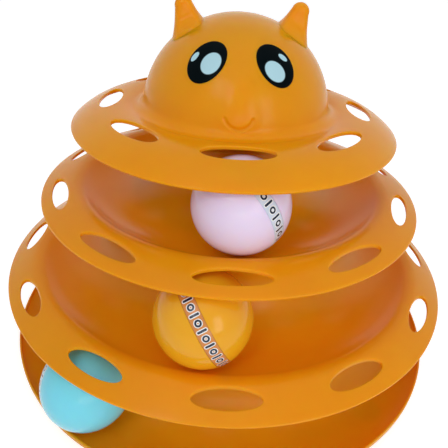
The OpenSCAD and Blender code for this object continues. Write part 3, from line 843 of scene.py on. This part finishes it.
# The right ear's root and tip from the head's middle, and the half sizes of its root, in mm
EAR_ROOT, EAR_TIP, EAR_HALF = (21.8, -2.0, 34.2), (27.2, -2.0, 49.6), (9.8, 7.2)
# Rings of vertices up its side, and over its round tip
EAR_ROWS, EAR_CAPS = 24, 10
# Corner of its outline at the root, and how much rounder it is at the tip
EAR_CORNER, EAR_ROUNDER = 3.0, 0.7
# The tip's depth and height as shares of its half width, and the half width of the hollow as one of the ear's
TIP_DEEP, TIP_TALL, HOLLOW_WIDE = 0.86, 0.95, 0.8
# How far the root is sunk in the head, how high it starts to spread, and how much less it does at the sides
EAR_SUNK, FLARE_HIGH, FLARE_ASIDE = 1.0 * MM, 6 * MM, 0.16


def squared(turn, corner):
    """A point of a soft-cornered oval: corner 2 is a circle, and a larger one is squarer."""
    c, s = cos(turn), sin(turn)
    return copysign(abs(c) ** (2 / corner), c), copysign(abs(s) ** (2 / corner), s)


def build_ear(side, head, middle, material):
    """One ear: a stout wedge with a flat, slightly hollow front, soft edges and a round tip."""
    bm = bmesh.new()
    root = middle + Vector((side * EAR_ROOT[0], EAR_ROOT[1], EAR_ROOT[2])) * MM
    tip = middle + Vector((side * EAR_TIP[0], EAR_TIP[1], EAR_TIP[2])) * MM
    line = (tip - root).normalized()
    flat = (Vector((1, 0, 0)) - line * line.x).normalized()
    rings = []
    for row in range(EAR_ROWS + EAR_CAPS + 1):
        share = min(1.0, row / EAR_ROWS)
        cap = max(0, row - EAR_ROWS) / EAR_CAPS * pi / 2
        ring = []
        for column in range(1 if row == EAR_ROWS + EAR_CAPS else EAR_COLUMNS):
            turn = 2 * pi * column / EAR_COLUMNS
            u, v = squared(turn, EAR_CORNER - EAR_ROUNDER * share)
            low = root + Vector((EAR_HALF[0] * u, EAR_HALF[1] * v, 0.0)) * MM
            top = tip + (flat * u + Vector((0, TIP_DEEP, 0)) * v) * head.ear_tip * cos(cap)
            top += line * TIP_TALL * head.ear_tip * sin(cap)
            spot = low.lerp(top, share)
            # The front is hollowed between its soft edges, and the hollow runs out towards the tip
            hollow = max(0.0, -v) ** 2 * max(0.0, 1 - (u / HOLLOW_WIDE) ** 2) * (1 - share ** 2)
            spot.y += head.ear_scoop * hollow
            ring.append(bm.verts.new(spot))
        rings.append(ring)
    for low, high in zip(rings, rings[1:]):
        bridge(bm, low, high)
    bm.faces.new(list(reversed(rings[0])))
    # The root stays inside the wall of the head, and spreads like a fillet where it comes out
    for vertex in bm.verts:
        offset = vertex.co - middle
        least = head.radius - EAR_SUNK
        if offset.length < least:
            vertex.co = middle + offset.normalized() * least
        above = max(0.0, offset.length - head.radius)
        near = max(0.0, 1 - above / FLARE_HIGH) ** 2
        aside = (vertex.co - (root + line * line.dot(vertex.co - root))).normalized()
        spread = Vector((FLARE_ASIDE * aside.x, aside.y, FLARE_ASIDE * aside.z))
        vertex.co += spread * head.ear_flare * near
    new_piece(("left" if side < 0 else "right") + "_ear_moulding", bm, "cover", material)


class CATTOY_OT_cover(bpy.types.Operator):
    """Builds the cat-head cover: brim with paw holes, head, muzzle, smile, ears and inner sleeve"""
    bl_idname = "cattoy.cover"
    bl_label = "Cat-head cover"

    def execute(self, context):
        tower, head = settings("tower"), settings("head")
        track, trough, _ = ball_track("pink")
        rim, curve, wall = COVER_HIGH.x, tower.cover_curve, tower.wall
        rim_z, middle_z = head_heights()
        sleeve_low = MIDDLE_HIGH.z - tower.ring_height + SEAT_GAP
        bend = (rim - curve * sin(tower.cover_edge), rim_z - curve * cos(tower.cover_edge))
        middle = (0.0, middle_z)
        fillet = circles_meet(bend, curve + head.foot_fillet, middle, head.radius + head.foot_fillet)
        brim = Brim(tower, curve, bend, rim)
        top_turn, foot_turn = turn_to(middle, fillet), turn_to(bend, fillet)
        band = bend[0] + curve * cos(foot_turn) + FILLET_SPARE
        over = arc(middle, head.radius, pi / 2, top_turn, steps=52)
        over[0] = (0.0, over[0][1])
        over += arc(fillet, head.foot_fillet, top_turn + pi, foot_turn + pi, steps=8)[1:]
        over += arc(bend, curve, foot_turn, acos((band - bend[0]) / curve), steps=3)[1:]
        inner = head.radius - wall
        junction = circles_meet(bend, curve - wall, middle, inner)
        sleeve = ring_radius(tower, track - trough) + tower.skirt_fit
        band_turn = acos((band - bend[0]) / (curve - wall))
        under = arc(bend, curve - wall, band_turn, turn_to(bend, junction), steps=4)
        under += arc(middle, inner, turn_to(middle, junction), acos((sleeve + wall) / inner), steps=20)[1:]
        under += [(sleeve + wall, sleeve_low), (sleeve, sleeve_low)]
        under += arc(middle, inner, acos(sleeve / inner), pi / 2, steps=12)
        under[-1] = (0.0, under[-1][1])
        bm = bmesh.new()
        top_rings, under_rings = spin(bm, over), spin(bm, under)
        holed_brim(bm, brim, "cover", top_rings[-1], under_rings[0])
        head_middle = Vector((0, 0, middle_z))
        press_face(bm, head, head_middle)
        material = tower_polypropylene()
        new_piece("cover_moulding", bm, "cover", material, "top_cover")
        for side in (-1, 1):
            build_ear(side, head, head_middle, material)
        return {"FINISHED"}


class CATTOY_OT_eyes(bpy.types.Operator):
    """Builds the two eye stickers, bent to the head"""
    bl_idname = "cattoy.eyes"
    bl_label = "Eyes"

    def execute(self, context):
        head = settings("head")
        middle = Vector((0, 0, head_heights()[1]))
        for side, name in ((-1, "left_eye"), (1, "right_eye")):
            down, right, out = face_axes(side * EYE_SIDE, EYE_RISE, side * EYE_LEAN)
            bm = bmesh.new()
            uv = bm.loops.layers.uv.new("eye")
            flat = {}
            # Share of the half sizes and height over the head, from the middle out and round the edge
            soft = head.eye_thick * EYE_ROUND
            steps = [(k / EYE_RINGS, head.eye_thick) for k in range(EYE_RINGS)]
            edge = 1 - soft / head.eye_wide
            for k in range(EYE_EDGE_RINGS + 1):
                turn = pi / 2 * k / EYE_EDGE_RINGS
                steps.append((edge + (1 - edge) * sin(turn), head.eye_thick - soft * (1 - cos(turn))))
            steps += [(share, -EYE_SUNK) for share in (1.0, 0.5, 0.0)]
            rings = []
            for share, height in steps:
                ring = []
                for k in range(1 if share == 0 else EYE_COLUMNS):
                    x = share * head.eye_long * cos(2 * pi * k / EYE_COLUMNS)
                    y = share * head.eye_wide * sin(2 * pi * k / EYE_COLUMNS)
                    z = sqrt((head.radius + height) ** 2 - x * x - y * y)
                    vertex = bm.verts.new(middle + down * x + right * y + out * z)
                    flat[vertex] = (x / MM, y / MM)
                    ring.append(vertex)
                rings.append(ring)
            for low, high in zip(rings, rings[1:]):
                bridge(bm, low, high)
            for face in bm.faces:
                for loop in face.loops:
                    loop[uv].uv = flat[loop.vert]
            glints = []
            for (glint_side, rise), half_sizes, lean in GLINTS[side]:
                spot = face_direction(glint_side, rise) * head.radius / MM
                own_down = face_axes(glint_side, rise, lean)[0]
                turn = atan2(own_down.dot(right), own_down.dot(down))
                glints.append(((spot.dot(down), spot.dot(right)), half_sizes, turn))
            new_piece(name + "_sticker", bm, "cover", glossy_sticker("Gloss_vinyl_" + name, glints), name)
        return {"FINISHED"}


class CATTOY_OT_balls(bpy.types.Operator):
    """Builds the three balls: half shells, label bands, and the finish of the bells and pellets inside"""
    bl_idname = "cattoy.balls"
    bl_label = "Balls"

    def execute(self, context):
        sizes = settings("balls")
        outer, shell = sizes.diameter / 2, sizes.shell
        half_band, groove = sizes.band_width / 2, outer - sizes.band_thick
        half = [(0.0, outer)] + arc((0, 0), outer, pi / 2, asin(half_band / outer), steps=40)[1:]
        half += [(sqrt(groove ** 2 - half_band ** 2), half_band), (groove, SEAT_GAP)]
        half += [(outer - shell, SEAT_GAP)] + arc((0, 0), outer - shell, 0.0, pi / 2, steps=30)[1:-1]
        half += [(0.0, outer - shell)]
        brass = tumbled_metal("Stamped_brass", "D8B45A", 0.28)
        steel = tumbled_metal("Tumbled_steel", "B4B6B8", 0.32)
        for ball in BALLS:
            turn, rise = (radians(v) for v in BALL_SEAMS[ball])
            seam = Matrix.Rotation(turn, 4, "Z") @ Matrix.Rotation(pi / 2 - rise, 4, "Y")
            place = Matrix.Translation(BALL_CENTRES[ball]) @ seam
            flip = Matrix.Rotation(pi, 4, "X")
            plastic = ball_abs(ball)
            for name, matrix in (("right_half", place), ("left_half", place @ flip)):
                bm = bmesh.new()
                spin(bm, half, BALL_COLUMNS, matrix)
                new_piece("{}_ball_{}_shell".format(ball, name), bm, ball + "_ball", plastic,
                          "{}_ball_{}".format(ball, name))
            self.band(ball, place, outer, groove, half_band - sizes.band_fit)
            for node, metal in ((ball + "_ball_bell", brass), (ball + "_ball_pellet", steel)):
                inside = frame["nodes"][node].data
                inside.materials.clear()
                inside.materials.append(metal)
        return {"FINISHED"}

    def band(self, ball, place, outer, groove, half_wide):
        """One label band, with a map in millimetres along and across it."""
        bm = bmesh.new()
        uv = bm.loops.layers.uv.new("band")
        rise = asin(half_wide / outer)
        outline = arc((0, 0), outer, rise, -rise, steps=8)
        soft = 0.12 * MM
        outline = [(groove, half_wide), (outline[0][0] - soft, half_wide)] + [
            (r, z * (1 - soft / half_wide)) for r, z in outline] + [
            (outline[-1][0] - soft, -half_wide), (groove, -half_wide)]
        heights = [z / MM for _, z in outline]
        rings = spin(bm, outline, BALL_COLUMNS, place)
        bridge(bm, rings[-1], rings[0])
        where = {}
        for ring, height in zip(rings, heights):
            for column, vertex in enumerate(ring):
                where[vertex] = (column, height)
        # A whole number of pairs of marks goes round the band
        pitch = settings("balls").mark_pitch / MM
        pairs = round(2 * pi * outer / MM / (2 * pitch))
        around = pairs * 2 * pitch
        for face in bm.faces:
            columns = [where[loop.vert][0] for loop in face.loops]
            wraps = max(columns) - min(columns) > 1
            for loop, column in zip(face.loops, columns):
                share = (column + BALL_COLUMNS if wraps and column == 0 else column) / BALL_COLUMNS
                loop[uv].uv = (share * around, where[loop.vert][1])
        new_piece(ball + "_ball_label_band", bm, ball + "_ball", label_film(ball), ball + "_ball_band")


class CATTOY_OT_feet(bpy.types.Operator):
    """Builds the four rubber feet"""
    bl_idname = "cattoy.feet"
    bl_label = "Feet"

    def execute(self, context):
        places, radius, top = foot_layout()
        # Each foot stands on a ring round a shallow dish
        soft, dish, dish_in, dish_out = 0.5 * MM, 0.3 * MM, 0.55 * radius, 0.7 * radius
        outline = [(0.0, dish), (dish_in, dish), (dish_out, 0.0)]
        outline += arc((radius - soft, soft), soft, 1.5 * pi, 2 * pi, 4) + [(radius, top), (0.0, top)]
        bm = bmesh.new()
        for place in places:
            spin(bm, outline, FOOT_COLUMNS, place)
        new_piece("rubber_foot_set", bm, "base", foot_rubber(), "rubber_feet")
        return {"FINISHED"}


def seen_white(tree):
    """1 where the camera sees a surface straight on, in a gloss or through a clear piece, and else 0."""
    rays = add_node(tree, "ShaderNodeLightPath").outputs
    seen = rays["Is Camera Ray"]
    for kind in ("Is Glossy Ray", "Is Transmission Ray"):
        seen = add_node(tree, "ShaderNodeMath", {0: seen, 1: rays[kind]}, operation="MAXIMUM").outputs[0]
    return seen


def matt_paper(tone, glow):
    """Pale matt paper: it keeps the object's shadow, and the camera sees it a little brighter."""
    material, tree = new_material("Matt_paper_floor")
    place = add_node(tree, "ShaderNodeTexCoord").outputs["Object"]
    # Tooth about 2 mm across
    tooth = add_node(tree, "ShaderNodeTexNoise", {"Vector": place, "Scale": 1 / (2 * MM)})
    bump = add_node(tree, "ShaderNodeBump", {"Height": tooth.outputs[0], "Strength": 0.05,
                                             "Distance": 0.1 * MM})
    paper = add_node(tree, "ShaderNodeBsdfDiffuse", {"Color": tone, "Normal": bump.outputs[0]})
    light = add_node(tree, "ShaderNodeEmission", {"Color": WHITE, "Strength": glow})
    glow_seen = add_node(tree, "ShaderNodeMixShader", {0: seen_white(tree), 2: light.outputs[0]})
    both = add_node(tree, "ShaderNodeAddShader", {0: paper.outputs[0], 1: glow_seen.outputs[0]})
    add_node(tree, "ShaderNodeOutputMaterial", {"Surface": both.outputs[0]})
    return material


def softbox(name, power):
    """A rectangular area lamp that faces the toy and that the camera doesn't see."""
    side, rise, distance, wide, tall = SOFTBOXES[name]
    lamp = bpy.data.lights.new(name, "AREA")
    lamp.shape, lamp.size, lamp.size_y, lamp.energy = "RECTANGLE", wide, tall, power
    lamp_object = bpy.data.objects.new(name, lamp)
    bpy.context.scene.collection.objects.link(lamp_object)
    out = face_direction(side, rise)
    lamp_object.location = Vector((0, 0, LAMP_TARGET)) + out * distance
    lamp_object.rotation_euler = (-out).to_track_quat("-Z", "Y").to_euler()
    lamp_object.visible_camera = False


class CATTOY_OT_stage(bpy.types.Operator):
    """Builds the floor, the sky, the softboxes and the camera"""
    bl_idname = "cattoy.stage"
    bl_label = "Stage"

    def execute(self, context):
        stage = settings("stage")
        scene = context.scene
        bm = bmesh.new()
        bmesh.ops.create_grid(bm, x_segments=8, y_segments=8, size=FLOOR_HALF)
        mesh = bpy.data.meshes.new("floor")
        bm.to_mesh(mesh)
        bm.free()
        mesh.materials.append(matt_paper(tuple(stage.floor), stage.floor_glow))
        floor = bpy.data.objects.new("floor", mesh)
        scene.collection.objects.link(floor)

        world = bpy.data.worlds.new("Plain_sky")
        scene.world = world
        world.use_nodes = True
        tree = world.node_tree
        tree.nodes.clear()
        strength = add_node(tree, "ShaderNodeMapRange", {"Value": seen_white(tree), "To Min": stage.world})
        sky = add_node(tree, "ShaderNodeBackground", {"Color": WHITE, "Strength": strength.outputs[0]})
        add_node(tree, "ShaderNodeOutputWorld", {"Surface": sky.outputs[0]})

        for name in SOFTBOXES:
            softbox(name, getattr(stage, name))

        camera = bpy.data.cameras.new("camera")
        camera.lens, camera.sensor_width = stage.focal, SENSOR
        camera.clip_start, camera.clip_end = CLIP
        camera_object = bpy.data.objects.new("camera", camera)
        scene.collection.objects.link(camera_object)
        s, c = sin(stage.heading), cos(stage.heading)
        out = Vector((s * cos(stage.dip), c * cos(stage.dip), -sin(stage.dip)))
        flat = Vector((c, -s, 0))
        up = flat.cross(out)
        right = flat * cos(stage.roll) + up * sin(stage.roll)
        up = up * cos(stage.roll) - flat * sin(stage.roll)
        turned = Matrix((right, up, -out)).transposed().to_4x4()
        camera_object.matrix_world = Matrix.Translation(Vector(stage.camera)) @ turned
        scene.camera = camera_object
        scene.view_settings.view_transform = "Standard"
        return {"FINISHED"}


class CATTOY_PT_panel(bpy.types.Panel):
    """Lists the pieces of the toy"""
    bl_idname = "CATTOY_PT_panel"
    bl_label = "Cat Ball Track Toy"
    bl_space_type = "VIEW_3D"
    bl_region_type = "UI"
    bl_category = "Cat Toy"

    def draw(self, context):
        for operator in OPERATORS:
            self.layout.operator(operator.bl_idname)
        for group in GROUPS:
            box = self.layout.box()
            box.label(text=group.title())
            values = settings(group)
            for name in GROUPS[group].__annotations__:
                box.prop(values, name)


GROUPS = {"tower": CATTOY_PG_tower, "head": CATTOY_PG_head, "balls": CATTOY_PG_balls,
          "finish": CATTOY_PG_finish, "stage": CATTOY_PG_stage}
OPERATORS = (CATTOY_OT_base, CATTOY_OT_tracks, CATTOY_OT_cover, CATTOY_OT_eyes, CATTOY_OT_balls,
             CATTOY_OT_feet, CATTOY_OT_stage)


def register():
    for group, kind in GROUPS.items():
        bpy.utils.register_class(kind)
        setattr(bpy.types.Scene, "cattoy_" + group, PointerProperty(type=kind))
    for kind in OPERATORS + (CATTOY_PT_panel,):
        bpy.utils.register_class(kind)


def unregister():
    for kind in reversed(OPERATORS + (CATTOY_PT_panel,)):
        bpy.utils.unregister_class(kind)
    for group, kind in reversed(GROUPS.items()):
        delattr(bpy.types.Scene, "cattoy_" + group)
        bpy.utils.unregister_class(kind)


def main():
    register()
    bpy.ops.cattoy.stage()
    bpy.ops.cattoy.base()
    bpy.ops.cattoy.tracks()
    bpy.ops.cattoy.cover()
    bpy.ops.cattoy.eyes()
    bpy.ops.cattoy.balls()
    bpy.ops.cattoy.feet()


if __name__ == "__main__":
    main()
